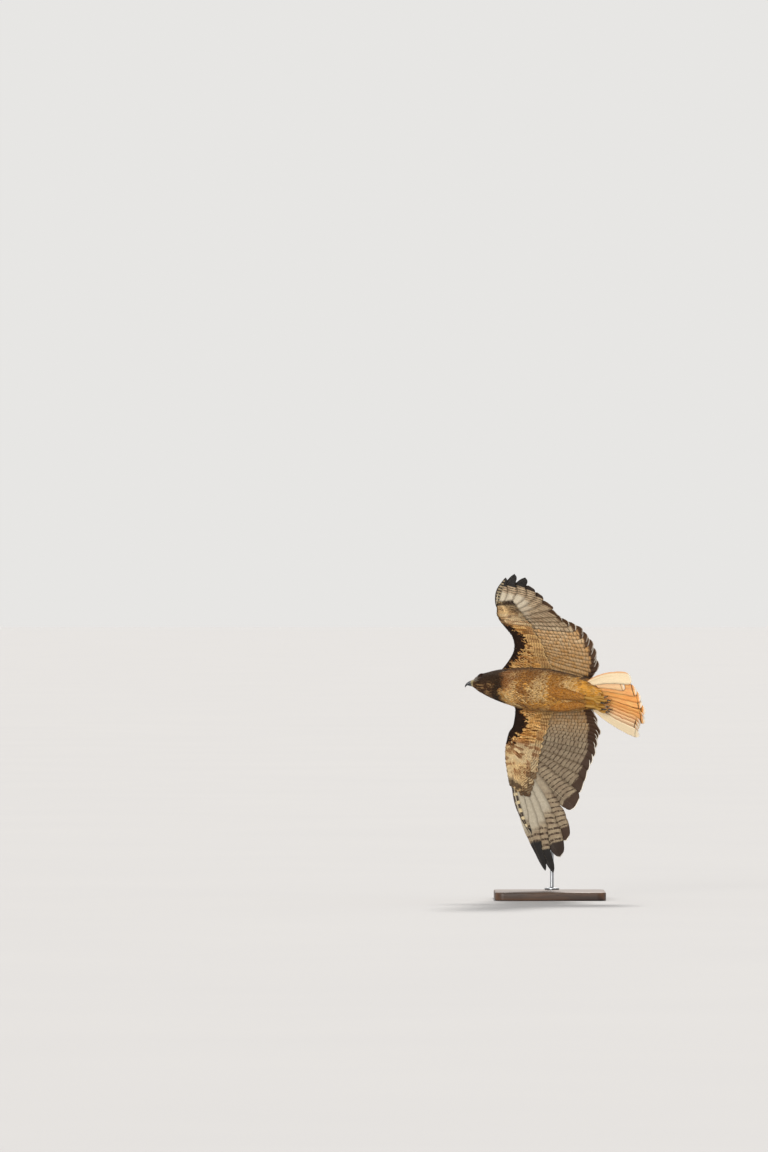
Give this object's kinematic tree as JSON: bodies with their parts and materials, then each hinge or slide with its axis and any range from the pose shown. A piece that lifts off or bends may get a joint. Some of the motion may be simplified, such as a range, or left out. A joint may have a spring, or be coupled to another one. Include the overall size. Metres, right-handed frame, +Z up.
{
  "type": "red tailed hawk model",
  "caption": "Life-size still model of a red tailed hawk in banked gliding flight with spread wings and a fanned tail, held over a flat wooden base by a bent steel rod.",
  "frame": {"origin": "centre of the base's underside, which rests on the table", "axes": "+Z up; -Y towards the camera of the picture's view, so the bird's belly faces -Y; -X the way the bill points in that view"},
  "size_m": [0.4846, 0.5602, 0.8801],
  "materials": {
    "breast_feathers": "matt golden buff plumage with rufous streaks",
    "head_feathers": "matt dark brown plumage",
    "wing_feathers": "matt grey buff barred feathers",
    "tail_feathers": "matt rufous feathers with pale tips",
    "bill": "satin blue-black horn, yellow at its base",
    "eye": "glossy dark brown",
    "foot": "scaly yellow skin with black claws",
    "base_wood": "satin dark stained wood",
    "rod_steel": "brushed"
  },
  "bodies": {
    "root": {"torso": "breast_feathers", "neck": "head_feathers", "head": "head_feathers", "bill_upper": "bill", "bill_lower": "bill", "eye_left": "eye", "eye_right": "eye", "tail": "tail_feathers", "wing_arm_left": "wing_feathers", "wing_hand_left": "wing_feathers", "wing_arm_right": "wing_feathers", "wing_hand_right": "wing_feathers", "thigh_left": "breast_feathers", "thigh_right": "breast_feathers", "foot_left": "foot", "foot_right": "foot", "stand_base": "base_wood", "stand_rod": "rod_steel"}
  },
  "joints": []
}
